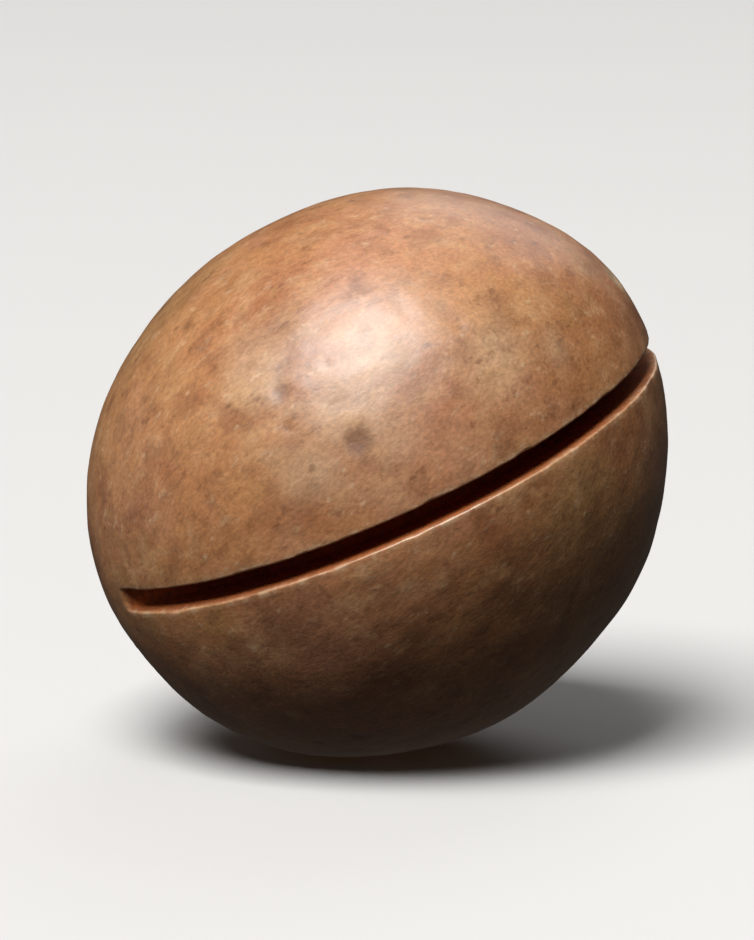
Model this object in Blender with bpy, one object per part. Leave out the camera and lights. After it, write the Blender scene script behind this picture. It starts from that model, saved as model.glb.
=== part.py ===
"""A macadamia nut in its shell, with the slot that is sawn part way round for a cracking key.

Metres, +Z up. The nut lies on a small flat of its shell. The origin is on that flat's plane, under the
middle of the nut's box. The slot's near side faces -Y, and the nut's tip end is raised towards +X.
"""

import math

import bmesh
import bpy
from mathutils import Euler, Vector

# The shell, as an egg turned about the line from its stem scar to its tip.
NUT_LENGTH = 0.0267
NUT_WIDTH = 0.0238
TIP_RISE = math.radians(40.0)
TIP_TURN = math.radians(-7.6)
FLAT_BELOW_CENTRE = 0.01232

# The saw slot: a plane just above the nut's centre that climbs towards +X and dips towards -Y. Places
# round it are turns from its +X side, through -90 degrees at its near side.
SLOT_WIDTH = 0.0010
SLOT_DEPTH = 0.0022
SLOT_CLIMB = math.radians(23.5)
SLOT_DIP = math.radians(5.5)
SLOT_ABOVE_CENTRE = 0.00045
SAW_RADIUS = 0.050
SLOT_FULL_FROM = math.radians(-121.0)
SLOT_FULL_TO = math.radians(25.0)

# Helpers and cutters
SPHERE_SUBDIVISIONS = 5
ARC_STEP = math.radians(6.0)
RUN_OUT_POINTS = 8
CUTTER_REACH = 0.016
FOOT_CUTTER_SIZE = 0.030


def heading(turn, rise):
    """The unit vector turned that far from +X towards +Y and raised that far above the ground."""
    return Vector(
        (
            math.cos(turn) * math.cos(rise),
            math.sin(turn) * math.cos(rise),
            math.sin(rise),
        )
    )


TIP = heading(TIP_TURN, TIP_RISE)

# What keeps the shell from being a true egg: where, how far it swells (or sinks) and how widely,
# as the 1 - cos of the angle at which the swelling has died to about a third.
SWELLINGS = (
    (TIP, 0.00026, 0.035),
    (-TIP, -0.00035, 0.050),
    (heading(math.radians(215), math.radians(50)), -0.00022, 0.150),
    (heading(math.radians(-31), math.radians(-27)), 0.00022, 0.120),
    (heading(math.radians(77), math.radians(24)), -0.00025, 0.120),
    (heading(math.radians(124), math.radians(-18)), 0.00020, 0.120),
    (heading(math.radians(0), math.radians(-70)), 0.00018, 0.140),
)


def clear_scene():
    for obj in list(bpy.data.objects):
        bpy.data.objects.remove(obj, do_unlink=True)


def new_collection(name):
    collection = bpy.data.collections.new(name)
    bpy.context.scene.collection.children.link(collection)
    return collection


def move_to(collection, obj):
    for holder in list(obj.users_collection):
        holder.objects.unlink(obj)
    collection.objects.link(obj)


def shell_material():
    """Hard brown shell with a dull polish."""
    material = bpy.data.materials.new("nut_shell")
    material.use_nodes = True
    finish = material.node_tree.nodes["Principled BSDF"]
    finish.inputs["Base Color"].default_value = (0.30, 0.13, 0.06, 1.0)
    finish.inputs["Roughness"].default_value = 0.42
    finish.inputs["Metallic"].default_value = 0.0
    return material


def shell_radius(direction):
    """How far the shell is from the nut's centre that way: an egg's radius and the swellings on it."""
    along = direction.dot(TIP)
    across_squared = max(0.0, 1.0 - along * along)
    radius = 1.0 / math.sqrt(
        (2 * along / NUT_LENGTH) ** 2 + across_squared * (2 / NUT_WIDTH) ** 2
    )
    for where, height, spread in SWELLINGS:
        radius += height * math.exp((direction.dot(where) - 1.0) / spread)
    return radius


def make_shell(collection):
    """A ball whose points are moved out to the shell, about the nut's centre."""
    bpy.ops.mesh.primitive_ico_sphere_add(subdivisions=SPHERE_SUBDIVISIONS, radius=1.0)
    nut = bpy.context.object
    nut.name = "macadamia_nut"
    nut.data.name = "macadamia_nut"
    for vertex in nut.data.vertices:
        direction = vertex.co.normalized()
        vertex.co = direction * shell_radius(direction)
    nut.data.materials.append(shell_material())
    move_to(collection, nut)
    return nut


def set_on_its_flat(nut):
    """Puts the nut's centre over the origin's box middle, and the plane of its flat at the ground."""
    middle = []
    for axis in range(2):
        reach = [vertex.co[axis] for vertex in nut.data.vertices]
        middle.append((min(reach) + max(reach)) / 2)
    nut.location = (-middle[0], -middle[1], FLAT_BELOW_CENTRE)


def saw_floor(angle_past_full):
    """How far the slot's floor is from the nut's centre, that far round past the last full-depth place.

    The saw is a circle that dips into the shell, so the floor there is the saw's own rim.
    """
    full_floor = NUT_WIDTH / 2 - SLOT_DEPTH
    saw_centre = full_floor + SAW_RADIUS
    across = saw_centre * math.sin(angle_past_full)
    return saw_centre * math.cos(angle_past_full) - math.sqrt(SAW_RADIUS**2 - across**2)


def run_out_angle():
    """How far round the saw's rim takes to climb from the full-depth floor to the cutter's outer edge."""
    saw_centre = NUT_WIDTH / 2 - SLOT_DEPTH + SAW_RADIUS
    return math.acos(
        (CUTTER_REACH**2 + saw_centre**2 - SAW_RADIUS**2) / (2 * CUTTER_REACH * saw_centre)
    )


def slot_outline():
    """The slot seen square on: its floor with a run-out at each end, and back outside the shell."""
    floor_steps = math.ceil((SLOT_FULL_TO - SLOT_FULL_FROM) / ARC_STEP)
    turns = [
        SLOT_FULL_FROM + (SLOT_FULL_TO - SLOT_FULL_FROM) * step / floor_steps
        for step in range(floor_steps + 1)
    ]
    run_out = [run_out_angle() * step / RUN_OUT_POINTS for step in range(1, RUN_OUT_POINTS + 1)]
    outline = [(SLOT_FULL_FROM - past, saw_floor(past)) for past in reversed(run_out)]
    outline += [(turn, saw_floor(0.0)) for turn in turns]
    outline += [(SLOT_FULL_TO + past, saw_floor(past)) for past in run_out]
    outline += [(turn, CUTTER_REACH) for turn in reversed(turns)]
    return [(radius * math.cos(turn), radius * math.sin(turn)) for turn, radius in outline]


def mark_as_cutter(obj):
    obj.hide_render = True
    obj.display_type = "WIRE"


def make_slot_cutter(collection, nut):
    """The outline of the slot given the saw's thickness, on the plane that the saw ran in."""
    points = slot_outline()
    curve = bpy.data.curves.new("slot_outline", "CURVE")
    curve.dimensions = "2D"
    curve.fill_mode = "BOTH"
    curve.extrude = SLOT_WIDTH / 2
    spline = curve.splines.new("POLY")
    spline.points.add(len(points) - 1)
    for point, (x, y) in zip(spline.points, points):
        point.co = (x, y, 0.0, 1.0)
    spline.use_cyclic_u = True
    outline = bpy.data.objects.new("slot_outline", curve)
    collection.objects.link(outline)
    tilt = Euler((SLOT_DIP, -SLOT_CLIMB, 0.0))
    outline.rotation_euler = tilt
    outline.location = nut.location + tilt.to_matrix() @ Vector((0.0, 0.0, SLOT_ABOVE_CENTRE))
    return mesh_from_curve("slot_cutter", outline, collection)


def mesh_from_curve(name, outline, collection):
    """A curve object made a closed mesh object, in the same place."""
    bpy.context.view_layer.update()
    graph = bpy.context.evaluated_depsgraph_get()
    mesh = bpy.data.meshes.new_from_object(outline.evaluated_get(graph))
    weld_and_face_outwards(mesh)
    solid = bpy.data.objects.new(name, mesh)
    solid.matrix_world = outline.matrix_world
    collection.objects.link(solid)
    bpy.data.objects.remove(outline, do_unlink=True)
    mark_as_cutter(solid)
    return solid


def weld_and_face_outwards(mesh):
    sewn = bmesh.new()
    sewn.from_mesh(mesh)
    bmesh.ops.remove_doubles(sewn, verts=sewn.verts, dist=1e-6)
    bmesh.ops.recalc_face_normals(sewn, faces=sewn.faces)
    sewn.to_mesh(mesh)
    sewn.free()


def make_foot_cutter(collection):
    """A block with its top at the ground, which leaves the flat that the nut rests on."""
    bpy.ops.mesh.primitive_cube_add(
        size=FOOT_CUTTER_SIZE, location=(0.0, 0.0, -FOOT_CUTTER_SIZE / 2)
    )
    block = bpy.context.object
    block.name = "foot_cutter"
    move_to(collection, block)
    mark_as_cutter(block)
    return block


def cut_with(nut, cutter):
    cut = nut.modifiers.new(cutter.name, "BOOLEAN")
    cut.operation = "DIFFERENCE"
    cut.solver = "EXACT"
    cut.object = cutter


def main():
    clear_scene()
    parts = new_collection("macadamia_nut_in_shell")
    cutters = new_collection("cutters")
    nut = make_shell(parts)
    set_on_its_flat(nut)
    cut_with(nut, make_foot_cutter(cutters))
    cut_with(nut, make_slot_cutter(cutters, nut))
    nut.data.shade_smooth()
    nut.data.set_sharp_from_angle(angle=math.radians(35.0))


main()
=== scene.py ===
"""A macadamia nut in its sawn shell, resting on its small flat in plain soft studio light."""

import math

import bpy
import numpy as np
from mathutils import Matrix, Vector


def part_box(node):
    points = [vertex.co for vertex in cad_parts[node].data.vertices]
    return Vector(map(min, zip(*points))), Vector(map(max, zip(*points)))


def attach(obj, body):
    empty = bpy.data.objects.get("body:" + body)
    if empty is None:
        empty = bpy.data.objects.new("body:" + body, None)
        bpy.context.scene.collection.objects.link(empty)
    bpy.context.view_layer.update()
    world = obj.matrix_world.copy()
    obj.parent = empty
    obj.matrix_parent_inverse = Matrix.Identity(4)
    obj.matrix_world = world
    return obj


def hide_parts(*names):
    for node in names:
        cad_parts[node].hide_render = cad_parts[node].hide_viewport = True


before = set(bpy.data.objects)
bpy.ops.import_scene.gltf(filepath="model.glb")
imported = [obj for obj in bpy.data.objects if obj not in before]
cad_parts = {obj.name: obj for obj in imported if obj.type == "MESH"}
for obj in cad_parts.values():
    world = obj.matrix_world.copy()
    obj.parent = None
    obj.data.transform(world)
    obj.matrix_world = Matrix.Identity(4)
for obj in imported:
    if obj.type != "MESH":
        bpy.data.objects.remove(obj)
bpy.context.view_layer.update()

MM = 0.001

# The shell: an egg turned about the line from its stem scar to its tip.
NUT_LENGTH = 26.7 * MM
NUT_WIDTH = 23.8 * MM
TIP_RISE = math.radians(40.0)
TIP_TURN = math.radians(-7.6)

# The saw slot: a plane just above the nut's centre that climbs towards +X and dips towards -Y. Places
# round it are turns from its +X side, through -90 degrees at its near side.
SLOT_WIDTH = 1.0 * MM
SLOT_DEPTH = 2.2 * MM
SLOT_CLIMB = math.radians(23.5)
SLOT_DIP = math.radians(5.5)
SLOT_ABOVE_CENTRE = 0.45 * MM
SAW_RADIUS = 50 * MM
SLOT_FULL_FROM = math.radians(-121.0)
SLOT_FULL_TO = math.radians(25.0)
LIP_ROUNDING = 0.10 * MM
FLOOR_FILLET = 0.10 * MM

# The surface's grid: columns round the slot's normal, and rows above, across and below the slot
COLUMNS = 420
UPPER_ROWS = 102
LOWER_ROWS = 96
LIP_STEPS = 4
WALL_STEPS = 6
FILLET_STEPS = 2
FLOOR_STEPS = 3
HEIGHT_PASSES = 6
FLAT_SOFTNESS = 0.05 * MM

# The stem scar and the tip's eye, as their reach round the nut from the middle of each
SCAR_REACH = math.radians(18.0)
EYE_REACH = math.radians(3.0)
SMALL_PORES = 110

# The ball that relief and colour are laid out on, about the size of the nut
BALL = 12 * MM

# What each random pattern starts from
SCAR_BEND_SEED = 7
FIBRE_SEED = 8
LUMP_SEED = 11
DIMPLE_SEED = 12
RIPPLE_SEED = 13
GRAIN_SEED = 14
UPPER_EDGE_SEED = 21
LOWER_EDGE_SEED = 31
PORE_SEED = 41
BLOTCH_SEED = 51


def heading(turn, rise):
    """The unit vector turned that far from +X towards +Y and raised that far above the ground."""
    return np.array([
        math.cos(turn) * math.cos(rise),
        math.sin(turn) * math.cos(rise),
        math.sin(rise),
    ])


def degrees_heading(turn, rise):
    """The same, from degrees."""
    return heading(math.radians(turn), math.radians(rise))


TIP = heading(TIP_TURN, TIP_RISE)
SIDE = np.array([-math.sin(TIP_TURN), math.cos(TIP_TURN), 0.0])
CREST = np.cross(TIP, SIDE)

# What keeps the shell from being a true egg: where, how far it swells (or sinks) and how widely,
# as the 1 - cos of the angle at which the swelling has died to about a third.
SWELLINGS = (
    (TIP, 0.26 * MM, 0.035),
    (-TIP, -0.35 * MM, 0.050),
    (degrees_heading(215, 50), -0.22 * MM, 0.150),
    (degrees_heading(-31, -27), 0.22 * MM, 0.120),
    (degrees_heading(77, 24), -0.25 * MM, 0.120),
    (degrees_heading(124, -18), 0.20 * MM, 0.120),
    (degrees_heading(0, -70), 0.18 * MM, 0.140),
)

# Blotches of colour, some of them painted light: where, and the angle at which each has died to about a
# third
BLOTCHES = {
    # Partly the shell's own red-brown, partly painted shade: most of these sit low on the nut and darken
    # its lower half.
    "red_blotch_and_low_painted_shade": ((-95, -34, 34), (10, -55, 25), (150, -42, 24), (60, 60, 18)),
    "ochre_blotch": ((-124, 4, 17), (-146, 22, 16), (-36, 26, 15), (60, 30, 20), (140, -10, 18)),
    "rose_blotch": ((-76, 15, 15), (-103, -27, 17), (-95, 58, 14), (20, 40, 17), (110, 15, 18)),
    "olive_blotch": ((-47, -1, 13), (-20, -30, 16), (170, 35, 18), (85, -25, 20)),
    # Partly pale skin, partly a painted highlight: the first four sit beside and below the highlight and
    # widen its bloom.
    "pale_blotch_and_painted_highlight": ((-118, 31, 8), (-94, 21, 11), (-102, 10, 8), (-62, 33, 8), (5, 15, 9), (120, 40, 10)),
    "umber_blotch": ((-58, -18, 5), (-112, -22, 5), (-85, -36, 9), (35, -5, 7), (150, 50, 6)),
}

# The slot's own axes: along its climb, level across it, and square to it
CLIMB_TURN = np.array([
    [math.cos(SLOT_CLIMB), 0.0, -math.sin(SLOT_CLIMB)],
    [0.0, 1.0, 0.0],
    [math.sin(SLOT_CLIMB), 0.0, math.cos(SLOT_CLIMB)],
])
SLOT_ALONG = CLIMB_TURN @ np.array([1.0, 0.0, 0.0])
SLOT_ACROSS = CLIMB_TURN @ np.array([0.0, math.cos(SLOT_DIP), math.sin(SLOT_DIP)])
SLOT_NORMAL = CLIMB_TURN @ np.array([0.0, -math.sin(SLOT_DIP), math.cos(SLOT_DIP)])


def smooth_step(low, high, value):
    """0 below low, 1 above high, and a cubic ease in between."""
    share = np.clip((value - low) / (high - low), 0.0, 1.0)
    return share * share * (3.0 - 2.0 * share)


def lumpiness(points, wavelength, seed, waves=40):
    """Even lumps with no grid in them: the sum of plane waves of about one wavelength.

    Each wave is cos(2 pi * distance along its own random direction / its length + its own phase), and
    the sum is scaled so that its spread is about one.
    """
    draw = np.random.default_rng(seed)
    headings = draw.normal(size=(waves, 3))
    headings /= np.linalg.norm(headings, axis=1, keepdims=True)
    lengths = wavelength * draw.uniform(0.7, 1.4, waves)
    phases = draw.uniform(0.0, 2.0 * math.pi, waves)
    total = np.zeros(points.shape[:-1])
    for direction, length, phase in zip(headings, lengths, phases):
        total += np.cos(points @ direction * (2.0 * math.pi / length) + phase)
    return total * math.sqrt(2.0 / waves)


def shell_radius(directions):
    """How far the bare shell is from the nut's centre: an egg's radius and the swellings on it.

    The egg's is 1 / sqrt((2 along / length)^2 + (2 across / width)^2), and each swelling adds its height
    times e to the power of (cos of the angle to its middle - 1) / its spread.
    """
    along = directions @ TIP
    across_squared = np.clip(1.0 - along**2, 0.0, None)
    radius = 1.0 / np.sqrt((2 * along / NUT_LENGTH) ** 2 + across_squared * (2 / NUT_WIDTH) ** 2)
    for where, height, spread in SWELLINGS:
        radius = radius + height * np.exp((directions @ where - 1.0) / spread)
    return radius


def along_the_grain(directions, stretch):
    """Points on the ball, squeezed along the line from scar to tip so that lumps on them run that way."""
    squeezed = (directions @ TIP)[..., None] * TIP * (1.0 - 1.0 / stretch)
    return BALL * (directions - squeezed)


def pore_places():
    """Unit directions, widths and depths of the pores: two on the near face, and the rest scattered."""
    draw = np.random.default_rng(PORE_SEED)
    near = np.array([degrees_heading(-93.6, 16.3), degrees_heading(-112.0, 25.6)])
    scattered = draw.normal(size=(SMALL_PORES, 3))
    scattered /= np.linalg.norm(scattered, axis=1, keepdims=True)
    widths = np.concatenate([[0.58, 0.46], draw.uniform(0.14, 0.24, SMALL_PORES)]) * MM
    depths = np.concatenate([[0.07, 0.05], draw.uniform(0.015, 0.045, SMALL_PORES)]) * MM
    return np.concatenate([near, scattered]), widths, depths


def pores(directions):
    """How much the pores sink the surface: each is a bell, e to the power of -(distance / width)^2."""
    sunk = np.zeros(directions.shape[:-1])
    for place, width, depth in zip(*pore_places()):
        gap_squared = 2.0 - 2.0 * (directions @ place)
        sunk += depth * np.exp(-gap_squared * (BALL / width) ** 2)
    return sunk


def scar(directions):
    """The stem scar's share (1 inside, 0 outside), its rim, its fibres and how far it raises the surface.

    Its edge is a circle whose reach wavers a little with the turn round it and with lumps. Inside it the
    surface is sunk a little, with fibres that run out from the middle: lumps that change fast with the
    turn and slowly with the reach.
    """
    turn = np.arctan2(directions @ CREST, directions @ SIDE)
    off = np.arccos(np.clip(-(directions @ TIP), -1.0, 1.0))
    bend = lumpiness(directions * BALL, 1.6 * MM, SCAR_BEND_SEED)
    wavering = 1.0 + 0.03 * np.cos(2 * turn + 0.8) + 0.02 * np.cos(5 * turn + 2.0) + 0.015 * bend
    share = off / (SCAR_REACH * wavering)
    inside = 1.0 - smooth_step(0.84, 1.10, share)
    rim = np.exp(-(((share - 1.04) / 0.09) ** 2))
    spread_out = np.stack([np.cos(turn), np.sin(turn), 0.35 * share], axis=-1)
    fibres = smooth_step(-1.2, 1.2, lumpiness(spread_out * 3.8 * MM, 0.75 * MM, FIBRE_SEED))
    fibres *= smooth_step(0.12, 0.45, share) * inside
    boss = np.exp(-((share / 0.14) ** 2))
    raised = -0.07 * inside + 0.02 * rim + 0.05 * fibres + 0.06 * boss + 0.02 * inside * bend
    return inside, rim, fibres, raised * MM


def eye(directions):
    """The tip's eye: its pale disc's share, and how far its low ring and its dimple raise the surface."""
    off = np.arccos(np.clip(directions @ TIP, -1.0, 1.0)) / EYE_REACH
    disc = 1.0 - smooth_step(0.5, 1.3, off)
    ring = np.exp(-(((off - 1.0) / 0.45) ** 2))
    raised = 0.02 * ring - 0.08 * np.exp(-((off / 0.40) ** 2))
    return disc, raised * MM


def seam(directions):
    """The faint seam from the scar to the eye down the far side: a narrow bell across the level turn."""
    across = directions @ CREST - 0.05 * np.sin(3.0 * (directions @ TIP))
    far_side = smooth_step(0.05, 0.30, directions @ SIDE)
    return far_side * np.exp(-((across / 0.016) ** 2))


def blotches(directions, places):
    """One colour's blotches: for each, a share of e to the power of -(ragged angle to it / reach)^2."""
    ragged = 1.0 + 0.22 * lumpiness(directions * BALL, 3.0 * MM, BLOTCH_SEED)
    share = np.zeros(directions.shape[:-1])
    for turn, rise, reach in places:
        angle = np.arccos(np.clip(directions @ degrees_heading(turn, rise), -1.0, 1.0))
        share = np.maximum(share, np.exp(-((angle * ragged / math.radians(reach)) ** 2)))
    return share


def relief(directions):
    """Everything that grew on the shell: low lumps, dimples, grain, pores, scar, eye and seam.

    Gives the height that they add, which is their sum, and the shares that colour the surface. The scar
    and the eye have none of the plain skin's lumps, pores and seam.
    """
    ball = directions * BALL
    lumps = lumpiness(ball, 7.5 * MM, LUMP_SEED)
    dimples = lumpiness(ball, 2.3 * MM, DIMPLE_SEED)
    ripples = lumpiness(ball, 1.15 * MM, RIPPLE_SEED)
    grain = lumpiness(along_the_grain(directions, 3.0), 0.75 * MM, GRAIN_SEED)
    pore_sink = pores(directions)
    inside, rim, fibres, scar_rise = scar(directions)
    disc, eye_rise = eye(directions)
    line = seam(directions)
    plain = (1.0 - inside) * (1.0 - disc)
    skin = 0.028 * lumps + 0.006 * dimples + 0.003 * ripples + 0.003 * grain
    height = skin * MM * plain - pore_sink * plain - 0.03 * MM * line * plain + scar_rise + eye_rise
    marks = {
        "dimple": 0.5 + 0.2 * dimples + 0.12 * ripples,
        "pore": np.clip(pore_sink / (0.05 * MM), 0.0, 1.0) * plain,
        "scar": inside,
        "scar_rim": rim,
        "fibre": fibres,
        "eye": disc,
        "seam": line * plain,
    }
    for name, places in BLOTCHES.items():
        marks[name] = blotches(directions, places)
    return height, marks


def slot_depth(turns, outside):
    """How deep the slot is below the shell at each turn round it.

    Between its two full places the floor keeps one distance from the centre. Past each of them it is the
    rim of a round saw, which climbs until it leaves the shell.
    """
    middle = (SLOT_FULL_FROM + SLOT_FULL_TO) / 2
    half = (SLOT_FULL_TO - SLOT_FULL_FROM) / 2
    off = np.abs((turns - middle + math.pi) % (2 * math.pi) - math.pi)
    past = np.clip(off - half, 0.0, math.pi / 2)
    saw_centre = NUT_WIDTH / 2 - SLOT_DEPTH + SAW_RADIUS
    across = saw_centre * np.sin(past)
    floor = saw_centre * np.cos(past) - np.sqrt(np.clip(SAW_RADIUS**2 - across**2, 0.0, None))
    return np.where(across < SAW_RADIUS, np.clip(outside - floor, 0.0, None), 0.0)


def ring_lumps(turns, wavelength, seed):
    """Lumps along the slot's edge, for each turn round it: those met by a circle as large as the ball."""
    circle = np.stack([np.cos(turns), np.sin(turns), np.zeros_like(turns)], axis=-1)
    return lumpiness(BALL * circle, wavelength, seed)


def slot_edge(turns, seed):
    """How far one edge of the slot is worn back at each turn: a fine waver and a few small chips."""
    chips = np.clip(ring_lumps(turns, 1.9 * MM, seed) - 1.0, 0.0, 1.2)
    waver = ring_lumps(turns, 0.9 * MM, seed + 1)
    return (0.075 * chips + 0.012 * waver) * MM


def slot_profile(depth, upper_wear, lower_wear):
    """The slot's section, from its upper lip over its floor to its lower lip, for each turn round it.

    Each lip is a quarter round, each wall is straight, and the floor has a fillet at each side. Gives the
    height over the slot's plane and the drop below the shell, one row for each step, and how fully the
    slot is cut. Where the slot has no depth the rows lie on the shell, evenly apart.
    """
    lip = np.minimum(LIP_ROUNDING, depth / 2)
    fillet = np.minimum(FLOOR_FILLET, depth / 4)
    half = SLOT_WIDTH / 2

    def one_side(wear):
        sides, drops = [], []
        for angle in np.linspace(0.0, math.pi / 2, LIP_STEPS + 1):
            worn = wear * (1.0 - 0.4 * angle)
            sides.append(half + lip * (1.0 - math.sin(angle)) + worn)
            drops.append(lip * (1.0 - math.cos(angle)))
        for share in np.linspace(0.0, 1.0, WALL_STEPS + 1)[1:]:
            drop = lip + (depth - fillet - lip) * share
            sides.append(half + 0.37 * wear * np.exp(-(drop - lip) / (0.15 * MM)))
            drops.append(drop)
        for angle in np.linspace(0.0, math.pi / 2, FILLET_STEPS + 1)[1:]:
            sides.append(half - fillet * (1.0 - math.cos(angle)))
            drops.append(depth - fillet * (1.0 - math.sin(angle)))
        return sides, drops

    upper_sides, upper_drops = one_side(upper_wear)
    lower_sides, lower_drops = one_side(lower_wear)
    across = [
        (half - fillet) * (1.0 - 2.0 * share)
        for share in np.linspace(0.0, 1.0, FLOOR_STEPS + 1)[1:-1]
    ]
    heights = np.array(upper_sides + across + [-side for side in reversed(lower_sides)])
    drops = np.array(upper_drops + [depth] * len(across) + lower_drops[::-1])
    even = np.linspace(half + LIP_ROUNDING, -half - LIP_ROUNDING, len(heights))[:, None]
    cut = smooth_step(0.0, 0.35 * MM, depth)
    return even + (heights - even) * cut, drops, cut


def latitude_at(heights, turns):
    """The latitude, seen from the nut's centre, at which the bare shell is that high over it.

    Both are measured along the slot's normal, from the plane through the centre that lies level with
    the slot. It starts from the nut's mean radius and is put right a few times with the shell's own
    radius there.
    """
    radius = np.full(heights.shape, NUT_WIDTH / 2)
    for _ in range(HEIGHT_PASSES):
        latitude = np.arcsin(np.clip(heights / radius, -1.0, 1.0))
        radius = shell_radius(direction_at(latitude, turns))
    return latitude


def direction_at(latitude, turns):
    """The unit direction at a latitude above the slot's plane and a turn round its normal."""
    level = np.cos(turns)[..., None] * SLOT_ALONG + np.sin(turns)[..., None] * SLOT_ACROSS
    return np.cos(latitude)[..., None] * level + np.sin(latitude)[..., None] * SLOT_NORMAL


def shell_grid():
    """The nut's rows, from the pole over the slot, across the slot, to the pole under it.

    The rows above and below the slot share out the latitude between its edge and the pole evenly, at
    each turn. Gives each row's latitudes, its turns and its drops, and how fully the slot is cut there.
    """
    turns = np.linspace(0.0, 2.0 * math.pi, COLUMNS, endpoint=False)
    outside = shell_radius(direction_at(np.zeros(COLUMNS), turns))
    depth = slot_depth(turns, outside)
    worn = smooth_step(0.1 * MM, 1.2 * MM, depth)
    upper_wear = worn * slot_edge(turns, UPPER_EDGE_SEED)
    lower_wear = worn * slot_edge(turns, LOWER_EDGE_SEED)
    heights, drops, cut = slot_profile(depth, upper_wear, lower_wear)
    above_centre = heights + SLOT_ABOVE_CENTRE
    slot_latitudes = latitude_at(above_centre, np.broadcast_to(turns, heights.shape))
    upper_shares = np.linspace(1.0, 0.0, UPPER_ROWS + 1)[1:-1, None]
    lower_shares = np.linspace(0.0, 1.0, LOWER_ROWS + 1)[1:-1, None]
    top = slot_latitudes[0]
    bottom = slot_latitudes[-1]
    upper = top + (math.pi / 2 - top) * upper_shares
    lower = bottom - (math.pi / 2 + bottom) * lower_shares
    latitudes = np.concatenate([upper, slot_latitudes, lower])
    dropped = np.zeros_like(latitudes)
    dropped[len(upper) : len(upper) + len(drops)] = drops
    return latitudes, np.broadcast_to(turns, latitudes.shape), dropped, cut


def pole_rows(values, upper, lower):
    """A grid's values as one list, with the value at each pole before and after it."""
    flat = values.reshape((-1,) + values.shape[2:])
    return np.concatenate([np.asarray(upper)[None], flat, np.asarray(lower)[None]])


def grid_faces(rows, columns):
    """Faces of a closed grid with a pole at each end: fans at the poles and quads between the rows."""
    number = 1 + np.arange(rows * columns).reshape(rows, columns)
    after = np.roll(number, -1, axis=1)
    last = 1 + rows * columns
    quads = np.stack([number[:-1], number[1:], after[1:], after[:-1]], axis=-1).reshape(-1, 4)
    top = np.stack([np.zeros(columns, int), number[0], after[0]], axis=-1)
    bottom = np.stack([np.full(columns, last), after[-1], number[-1]], axis=-1)
    return quads.tolist() + top.tolist() + bottom.tolist()


def rest_on_flat(points):
    """Presses what is below the ground up to it, with a small soft edge: (z + s)^2 / 4 s within s of it."""
    z = points[:, 2]
    soft = FLAT_SOFTNESS
    eased = np.where(z < -soft, 0.0, np.where(z > soft, z, (z + soft) ** 2 / (4.0 * soft)))
    points[:, 2] = eased
    return points


def nut_centre(low, high):
    """The centre that the bare shell is measured from, from the CAD node's box.

    The shell's own lowest and highest reach along X and Y, found on a fine grid of directions, put its
    middle over the box's middle, and its highest reach along Z puts its top at the box's top.
    """
    latitude = np.linspace(-math.pi / 2, math.pi / 2, 361)[:, None]
    turn = np.linspace(0.0, 2.0 * math.pi, 720, endpoint=False)[None, :]
    latitude, turn = np.broadcast_arrays(latitude, turn)
    directions = direction_at(latitude, turn)
    reach = shell_radius(directions)[..., None] * directions
    most = reach.reshape(-1, 3).max(axis=0)
    least = reach.reshape(-1, 3).min(axis=0)
    middle = (np.array(low) + np.array(high)) / 2
    centre = middle - (most + least) / 2
    centre[2] = high[2] - most[2]
    return centre


def make_shell(centre):
    """The whole nut as one closed surface, a function of the turn round the slot's normal and the latitude.

    Each point is the centre + (bare radius + relief) * its direction, less the slot's drop straight
    towards the slot's middle line.
    """
    latitudes, turns, dropped, cut = shell_grid()
    directions = pole_rows(direction_at(latitudes, turns), SLOT_NORMAL, -SLOT_NORMAL)
    inward = pole_rows(direction_at(np.zeros_like(turns), turns), SLOT_NORMAL, -SLOT_NORMAL)
    drop = pole_rows(dropped, 0.0, 0.0)
    height, marks = relief(directions)
    at_slot = np.exp(-drop / (0.3 * MM))
    radius = shell_radius(directions) + height * at_slot
    points = centre + radius[:, None] * directions - drop[:, None] * inward
    points = rest_on_flat(points)
    mesh = bpy.data.meshes.new("macadamia_shell")
    mesh.from_pydata(points.tolist(), [], grid_faces(*latitudes.shape))
    mesh.shade_smooth()
    # Where the slot's lips are, for the pale along them that is partly wear and partly a painted highlight
    # on the edge
    over_slot = (points - centre) @ SLOT_NORMAL - SLOT_ABOVE_CENTRE
    edge = np.exp(-(((np.abs(over_slot) - SLOT_WIDTH / 2 - LIP_ROUNDING / 2) / (0.16 * MM)) ** 2))
    around = pole_rows(np.broadcast_to(cut, latitudes.shape), 0.0, 0.0)
    marks["lip"] = edge * around * np.exp(-drop / (0.15 * MM))
    marks["slot"] = smooth_step(0.03 * MM, 0.14 * MM, drop)
    marks["slot_drop"] = drop / SLOT_DEPTH
    for name, values in marks.items():
        layer = mesh.attributes.new(name, "FLOAT", "POINT")
        layer.data.foreach_set("value", np.ascontiguousarray(values, dtype=np.float32))
    shell = bpy.data.objects.new("macadamia_shell", mesh)
    bpy.context.scene.collection.objects.link(shell)
    return shell


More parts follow.
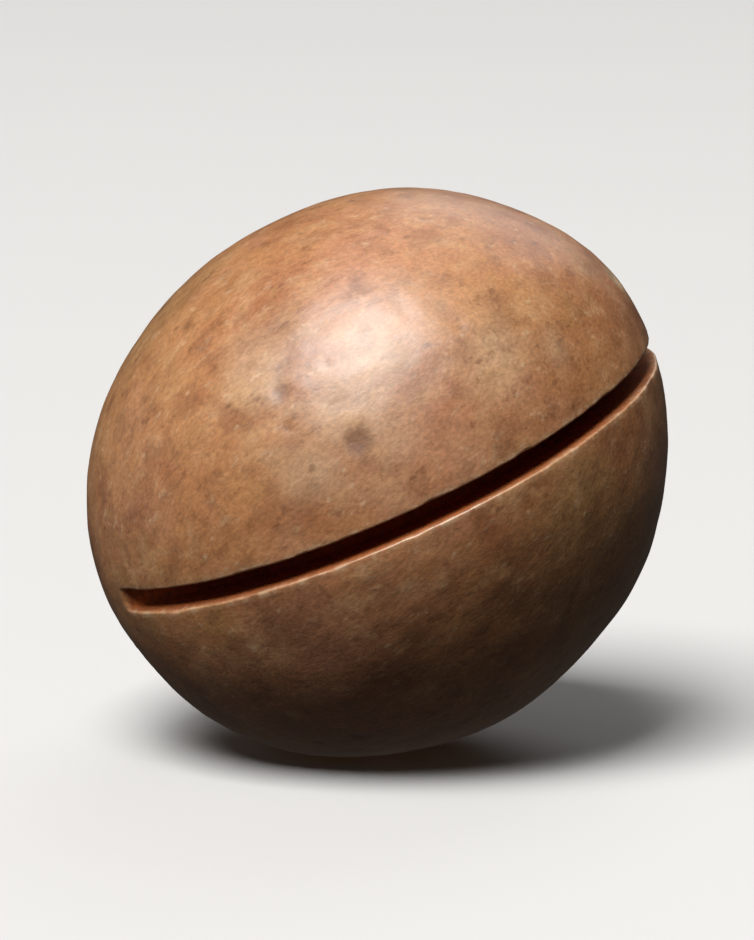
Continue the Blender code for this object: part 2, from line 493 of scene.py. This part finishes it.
class Finish:
    """A material being put together: each call adds one node and gives back its output."""

    def __init__(self, name):
        self.material = bpy.data.materials.new(name)
        self.material.use_nodes = True
        self.tree = self.material.node_tree
        self.shader = self.tree.nodes["Principled BSDF"]

    def add(self, kind, inputs, output=0, **settings):
        """One node with these settings; an input is another node's output or a constant."""
        node = self.tree.nodes.new(kind)
        for key, value in settings.items():
            setattr(node, key, value)
        for key, value in inputs.items():
            if isinstance(value, bpy.types.NodeSocket):
                self.tree.links.new(value, node.inputs[key])
            else:
                node.inputs[key].default_value = value
        return node.outputs[output]

    def mark(self, name):
        """One of the shares that the mesh carries at its points."""
        return self.add("ShaderNodeAttribute", {}, "Fac", attribute_name=name)

    def place(self):
        """Where a point is in the object's own frame, in metres."""
        return self.add("ShaderNodeTexCoord", {}, "Object")

    def stretched(self, place, centre, turned, stretch):
        """The place seen from a centre, along turned axes, with patterns on it stretched along them."""
        return self.add(
            "ShaderNodeMapping",
            {"Vector": place, "Location": centre, "Rotation": turned, "Scale": stretch},
            vector_type="TEXTURE",
        )

    def noise(self, place, size, detail, roughness=0.5, distortion=0.0):
        """Cloudy noise from 0 to 1, with its largest clouds of about that size."""
        return self.add("ShaderNodeTexNoise", {
            "Vector": place,
            "Scale": 1.0 / size,
            "Detail": detail,
            "Roughness": roughness,
            "Distortion": distortion,
        }, "Fac")

    def cells(self, place, size):
        """How far a point is from the middle of its cell, with cells of about that size."""
        return self.add("ShaderNodeTexVoronoi", {"Vector": place, "Scale": 1.0 / size}, "Distance")

    def flecks(self, place, size, reach, kept):
        """Spots of ragged outline, one in a share of the cells: near a cell's middle, less some noise."""
        cells = self.tree.nodes.new("ShaderNodeTexVoronoi")
        self.tree.links.new(place, cells.inputs["Vector"])
        cells.inputs["Scale"].default_value = 1.0 / size
        ragged = self.maths("MULTIPLY", self.noise(place, size * 0.25, 4.0, 0.65), 0.4)
        edge = self.maths("ADD", cells.outputs["Distance"], ragged)
        spot = self.span(edge, reach + 0.14, reach + 0.28, 1.0, 0.0)
        chance = self.add("ShaderNodeSeparateColor", {"Color": cells.outputs["Color"]})
        return self.maths("MULTIPLY", spot, self.maths("LESS_THAN", chance, kept))

    def scaled(self, colour, factor):
        """A colour made lighter or darker by a factor."""
        return self.add("ShaderNodeVectorMath", {0: colour, 3: factor}, operation="SCALE")

    def span(self, value, low, high, to_low=0.0, to_high=1.0):
        """A smooth step from one value at low to another at high."""
        return self.add("ShaderNodeMapRange", {
            "Value": value,
            "From Min": low,
            "From Max": high,
            "To Min": to_low,
            "To Max": to_high,
        }, interpolation_type="SMOOTHSTEP")

    def maths(self, operation, first, second):
        """One sum, product or comparison of two numbers."""
        return self.add("ShaderNodeMath", {0: first, 1: second}, operation=operation)

    def mix(self, share, first, second):
        """The first colour, with a share of the second in its place."""
        return self.add("ShaderNodeMix", {0: share, 6: first, 7: second}, 2, data_type="RGBA")

    def bump(self, height, distance):
        """The normal of a surface raised by a height of 0 to 1 over that distance."""
        return self.add("ShaderNodeBump", {"Height": height, "Distance": distance, "Strength": 1.0})

    def drives(self, socket, value):
        """Links a value to one of the shader's own sockets."""
        self.tree.links.new(value, self.shader.inputs[socket])


# The shell's colours
RED_BROWN = (0.385, 0.146, 0.056, 1.0)
OCHRE = (0.520, 0.236, 0.092, 1.0)
OLIVE = (0.390, 0.210, 0.076, 1.0)
ROSE = (0.560, 0.255, 0.138, 1.0)
TAN = (0.620, 0.345, 0.165, 1.0)
PALE = (0.700, 0.480, 0.290, 1.0)
UMBER = (0.170, 0.058, 0.023, 1.0)

# The slot's, the scar's and the eye's
SAWN_SKIN = (0.270, 0.068, 0.014, 1.0)
SAWN_WALL = (0.430, 0.112, 0.022, 1.0)
SLOT_FLOOR = (0.420, 0.085, 0.012, 1.0)
SCAR_BROWN = (0.500, 0.250, 0.112, 1.0)
SCAR_TAN = (0.690, 0.405, 0.210, 1.0)
SCAR_FIBRE = (0.300, 0.130, 0.053, 1.0)
EYE_CREAM = (0.640, 0.450, 0.270, 1.0)

# Each blotch's colour, and how far it covers the skin at its middle
BLOTCH_COLOURS = (
    # The red-brown blotches are partly painted shade that darkens the lower half of the nut.
    ("red_blotch_and_low_painted_shade", RED_BROWN, 0.62),
    ("ochre_blotch", OCHRE, 0.60),
    ("rose_blotch", ROSE, 0.70),
    ("olive_blotch", OLIVE, 0.75),
    # The pale blotches are partly a painted highlight that widens the bloom of the real one.
    ("pale_blotch_and_painted_highlight", PALE, 0.50),
    ("umber_blotch", UMBER, 0.55),
)


def skin_colour(finish, place, grain, speckle):
    """Red-brown and ochre clouds with olive and rose in them, blotches (some of them painted shade low on
    the nut, some a painted highlight beside the real one), and a mottle over them all.
    """
    cloud = finish.span(finish.noise(place, 6.5 * MM, 4.0, 0.6), 0.38, 0.62)
    colour = finish.mix(cloud, RED_BROWN, OCHRE)
    hue = finish.noise(place, 3.6 * MM, 5.0, 0.62)
    colour = finish.mix(finish.span(hue, 0.52, 0.70, 0.0, 0.55), colour, ROSE)
    colour = finish.mix(finish.span(hue, 0.32, 0.48, 0.55, 0.0), colour, OLIVE)
    for name, blotch, share in BLOTCH_COLOURS:
        colour = finish.mix(finish.maths("MULTIPLY", finish.mark(name), share), colour, blotch)
    mottle = finish.noise(grain, 1.5 * MM, 8.0, 0.66, 0.2)
    colour = finish.mix(finish.span(mottle, 0.50, 0.68, 0.0, 0.55), colour, TAN)
    colour = finish.mix(finish.span(mottle, 0.30, 0.47, 0.45, 0.0), colour, UMBER)
    colour = finish.mix(finish.span(speckle, 0.56, 0.70, 0.0, 0.42), colour, PALE)
    colour = finish.mix(finish.span(speckle, 0.32, 0.44, 0.42, 0.0), colour, UMBER)
    return colour


def with_small_marks(finish, colour, place, grain):
    """Pinpricks, short pale flecks along the grain, painted shade in the hollows, pores and the seam, over
    the skin's colour.
    """
    pinpricks = finish.flecks(grain, 0.95 * MM, 0.12, 0.45)
    colour = finish.mix(finish.maths("MULTIPLY", pinpricks, 0.50), colour, UMBER)
    pale_flecks = finish.flecks(grain, 0.70 * MM, 0.10, 0.35)
    colour = finish.mix(finish.maths("MULTIPLY", pale_flecks, 0.50), colour, PALE)
    # Painted shade: the low parts of the dimples are darkened towards umber.
    painted_hollow_shade = finish.span(finish.mark("dimple"), 0.1, 0.5, 0.25, 0.0)
    colour = finish.mix(painted_hollow_shade, colour, UMBER)
    colour = finish.mix(finish.maths("MULTIPLY", finish.mark("seam"), 0.35), colour, UMBER)
    ragged = finish.maths("MULTIPLY", finish.noise(place, 0.30 * MM, 3.0, 0.6), 0.9)
    pore = finish.maths("ADD", finish.mark("pore"), ragged)
    return finish.mix(finish.span(pore, 0.50, 1.40, 0.0, 0.62), colour, UMBER)


def with_scar_and_eye(finish, colour, place):
    """The stem scar's pale tan with darker fibres and a dark rim, and the tip's pale eye."""
    patches = finish.span(finish.noise(place, 0.5 * MM, 5.0, 0.65), 0.35, 0.65)
    scar_tan = finish.mix(patches, SCAR_BROWN, SCAR_TAN)
    fibre = finish.maths("MULTIPLY", finish.mark("fibre"), 0.45)
    scar_colour = finish.mix(fibre, scar_tan, SCAR_FIBRE)
    colour = finish.mix(finish.mark("scar"), colour, scar_colour)
    colour = finish.mix(finish.maths("MULTIPLY", finish.mark("scar_rim"), 0.40), colour, UMBER)
    return finish.mix(finish.maths("MULTIPLY", finish.mark("eye"), 0.85), colour, EYE_CREAM)


def with_slot(finish, colour, place):
    """The sawn slot, darker the deeper it is, with pale in places along its lips: partly wear and partly a
    painted highlight where a lip catches the light.
    """
    drop = finish.mark("slot_drop")
    wall = finish.mix(finish.span(drop, 0.08, 0.20), SAWN_SKIN, SAWN_WALL)
    dust = finish.span(finish.noise(place, 0.35 * MM, 4.0, 0.65), 0.3, 0.7, 0.75, 1.25)
    cut_colour = finish.scaled(finish.mix(finish.span(drop, 0.35, 0.90), wall, SLOT_FLOOR), dust)
    colour = finish.mix(finish.mark("slot"), colour, cut_colour)
    # Pale along the lips in places: partly wear, partly a painted highlight on the edge.
    wear = finish.span(finish.noise(place, 0.6 * MM, 3.0, 0.6), 0.45, 0.65, 0.10, 0.75)
    return finish.mix(finish.maths("MULTIPLY", finish.mark("lip"), wear), colour, PALE)


def shell_finish(centre):
    """Hard brown shell with a dull polish: its colours, its gloss and its finest pits."""
    finish = Finish("macadamia_shell")
    place = finish.place()
    grain = finish.stretched(place, tuple(centre), (0.0, -TIP_RISE, TIP_TURN), (1.7, 1.0, 1.0))
    speckle = finish.noise(grain, 0.62 * MM, 6.0, 0.70, 0.2)
    fine = finish.noise(grain, 0.15 * MM, 4.0, 0.65)

    colour = skin_colour(finish, place, grain, speckle)
    colour = with_small_marks(finish, colour, place, grain)
    colour = finish.scaled(colour, finish.span(fine, 0.25, 0.75, 0.80, 1.22))
    colour = with_scar_and_eye(finish, colour, place)
    colour = with_slot(finish, colour, place)

    rough = finish.span(speckle, 0.30, 0.70, 0.37, 0.50)
    rough = finish.maths("ADD", rough, finish.maths("MULTIPLY", finish.mark("scar"), 0.3))
    rough = finish.maths("ADD", rough, finish.maths("MULTIPLY", finish.mark("slot"), 0.4))

    pits = finish.span(finish.cells(grain, 0.50 * MM), 0.0, 0.40)
    pitted = finish.maths("ADD", finish.maths("MULTIPLY", pits, 0.5), fine)
    fine_height = finish.maths("ADD", pitted, finish.maths("MULTIPLY", speckle, 1.5))

    polish = finish.span(finish.mark("slot"), 0.0, 1.0, 0.92, 0.0)
    polish = finish.maths("MULTIPLY", polish, finish.span(finish.mark("scar"), 0.0, 1.0, 1.0, 0.1))

    finish.drives("Base Color", colour)
    finish.drives("Roughness", rough)
    finish.drives("Coat Weight", polish)
    finish.drives("Normal", finish.bump(fine_height, 0.014 * MM))
    finish.shader.inputs["Specular IOR Level"].default_value = 0.5
    finish.shader.inputs["Coat Roughness"].default_value = 0.38
    return finish.material


def studio_finish():
    """Pale matt paper for the floor, with a faint unevenness."""
    finish = Finish("studio_floor")
    cloud = finish.noise(finish.place(), 60 * MM, 3.0)
    colour = finish.mix(cloud, (0.69, 0.69, 0.69, 1.0), (0.71, 0.71, 0.706, 1.0))
    finish.drives("Base Color", colour)
    finish.shader.inputs["Roughness"].default_value = 0.85
    return finish.material


def make_studio_floor():
    """A wide floor that turns up into a round wall: a profile of run and rise, carried once round Z.

    The profile is level, then a quarter circle, then upright. The floor takes the nut's shadow, but it
    sends no light back to the nut, and the lamps outside its wall shine through it.
    """
    flat_reach = 0.9
    bend = 0.6
    wall_top = 1.2
    bend_steps = 16
    columns = 96
    gap = 0.02 * MM
    angles = np.linspace(0.0, math.pi / 2, bend_steps + 1)
    runs = np.concatenate([[0.05, 0.3, 0.6], flat_reach + bend * np.sin(angles), [flat_reach + bend]])
    rises = np.concatenate([[0.0, 0.0, 0.0], bend * (1.0 - np.cos(angles)), [wall_top]])
    turns = np.linspace(0.0, 2.0 * math.pi, columns, endpoint=False)
    ring = np.stack([np.cos(turns), np.sin(turns)], axis=-1)
    points = np.zeros((len(runs), len(turns), 3))
    points[..., :2] = runs[:, None, None] * ring
    points[..., 2] = rises[:, None] - gap
    middle = [[0.0, 0.0, -gap]]
    number = 1 + np.arange(points.shape[0] * points.shape[1]).reshape(points.shape[:2])
    after = np.roll(number, -1, axis=1)
    quads = np.stack([number[:-1], number[1:], after[1:], after[:-1]], axis=-1).reshape(-1, 4)
    fan = np.stack([np.zeros(len(turns), int), number[0], after[0]], axis=-1)
    mesh = bpy.data.meshes.new("studio_floor")
    mesh.from_pydata(middle + points.reshape(-1, 3).tolist(), [], quads.tolist() + fan.tolist())
    mesh.shade_smooth()
    mesh.materials.append(studio_finish())
    floor = bpy.data.objects.new("studio_floor", mesh)
    bpy.context.scene.collection.objects.link(floor)
    floor.visible_diffuse = False
    floor.visible_glossy = False
    floor.visible_shadow = False


def aimed(obj, place, target):
    """Puts a light or camera at a place, looking at the target with its top up."""
    obj.location = place
    obj.rotation_euler = (Vector(target) - Vector(place)).to_track_quat("-Z", "Y").to_euler()
    bpy.context.scene.collection.objects.link(obj)


def soft_light(name, target, direction, distance, size, power, tint=(1.0, 1.0, 1.0)):
    """A rectangular light that looks at the target from that direction and distance."""
    light = bpy.data.lights.new(name, "AREA")
    light.shape = "RECTANGLE"
    light.size, light.size_y = size
    light.energy = power
    light.color = tint
    place = np.array(target) + np.array(direction) * distance
    aimed(bpy.data.objects.new(name, light), tuple(place), tuple(target))


def light_studio(target):
    """A large softbox high on the left, and weak light from overhead, from the left and from behind."""
    key_tint = (1.0, 0.985, 0.96)
    world_tint = (1.0, 0.93, 0.85, 1.0)
    soft_light("key_softbox", target, degrees_heading(-119, 59), 2.2, (1.15, 1.30), 69.0, key_tint)
    soft_light("overhead", target, degrees_heading(90, 84), 2.4, (2.0, 2.0), 2.0)
    soft_light("left_fill", target, degrees_heading(166, 10), 1.8, (1.7, 1.7), 1.5)
    soft_light("back_fill", target, degrees_heading(72, 42), 2.2, (1.4, 1.4), 8.0)
    world = bpy.data.worlds.new("studio")
    world.use_nodes = True
    world.node_tree.nodes["Background"].inputs["Color"].default_value = world_tint
    world.node_tree.nodes["Background"].inputs["Strength"].default_value = 0.038
    bpy.context.scene.world = world
    bpy.context.scene.view_settings.view_transform = "Standard"


def set_camera(target, nut_width):
    """A long lens, ten degrees above level, with the nut a little over three quarters of the width."""
    lens = 200.0
    film_height = 36.0
    width_of_height = 754 / 940
    share_of_width = 0.77
    view_turn = -90
    view_rise = 10
    camera = bpy.data.cameras.new("camera")
    camera.lens = lens
    camera.sensor_fit = "VERTICAL"
    camera.sensor_height = film_height
    camera.clip_start = 0.01
    camera.clip_end = 20.0
    distance = nut_width / (share_of_width * width_of_height) * lens / film_height
    place = np.array(target) + degrees_heading(view_turn, view_rise) * distance
    viewer = bpy.data.objects.new("camera", camera)
    aimed(viewer, tuple(place), tuple(target))
    bpy.context.scene.camera = viewer


def main():
    low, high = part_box("macadamia_nut")
    centre = nut_centre(low, high)
    shell = make_shell(centre)
    shell.data.materials.append(shell_finish(centre))
    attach(shell, "root")
    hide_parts("macadamia_nut")
    target = (np.array(low) + np.array(high)) / 2
    make_studio_floor()
    light_studio(target)
    set_camera(target, high[0] - low[0])


main()
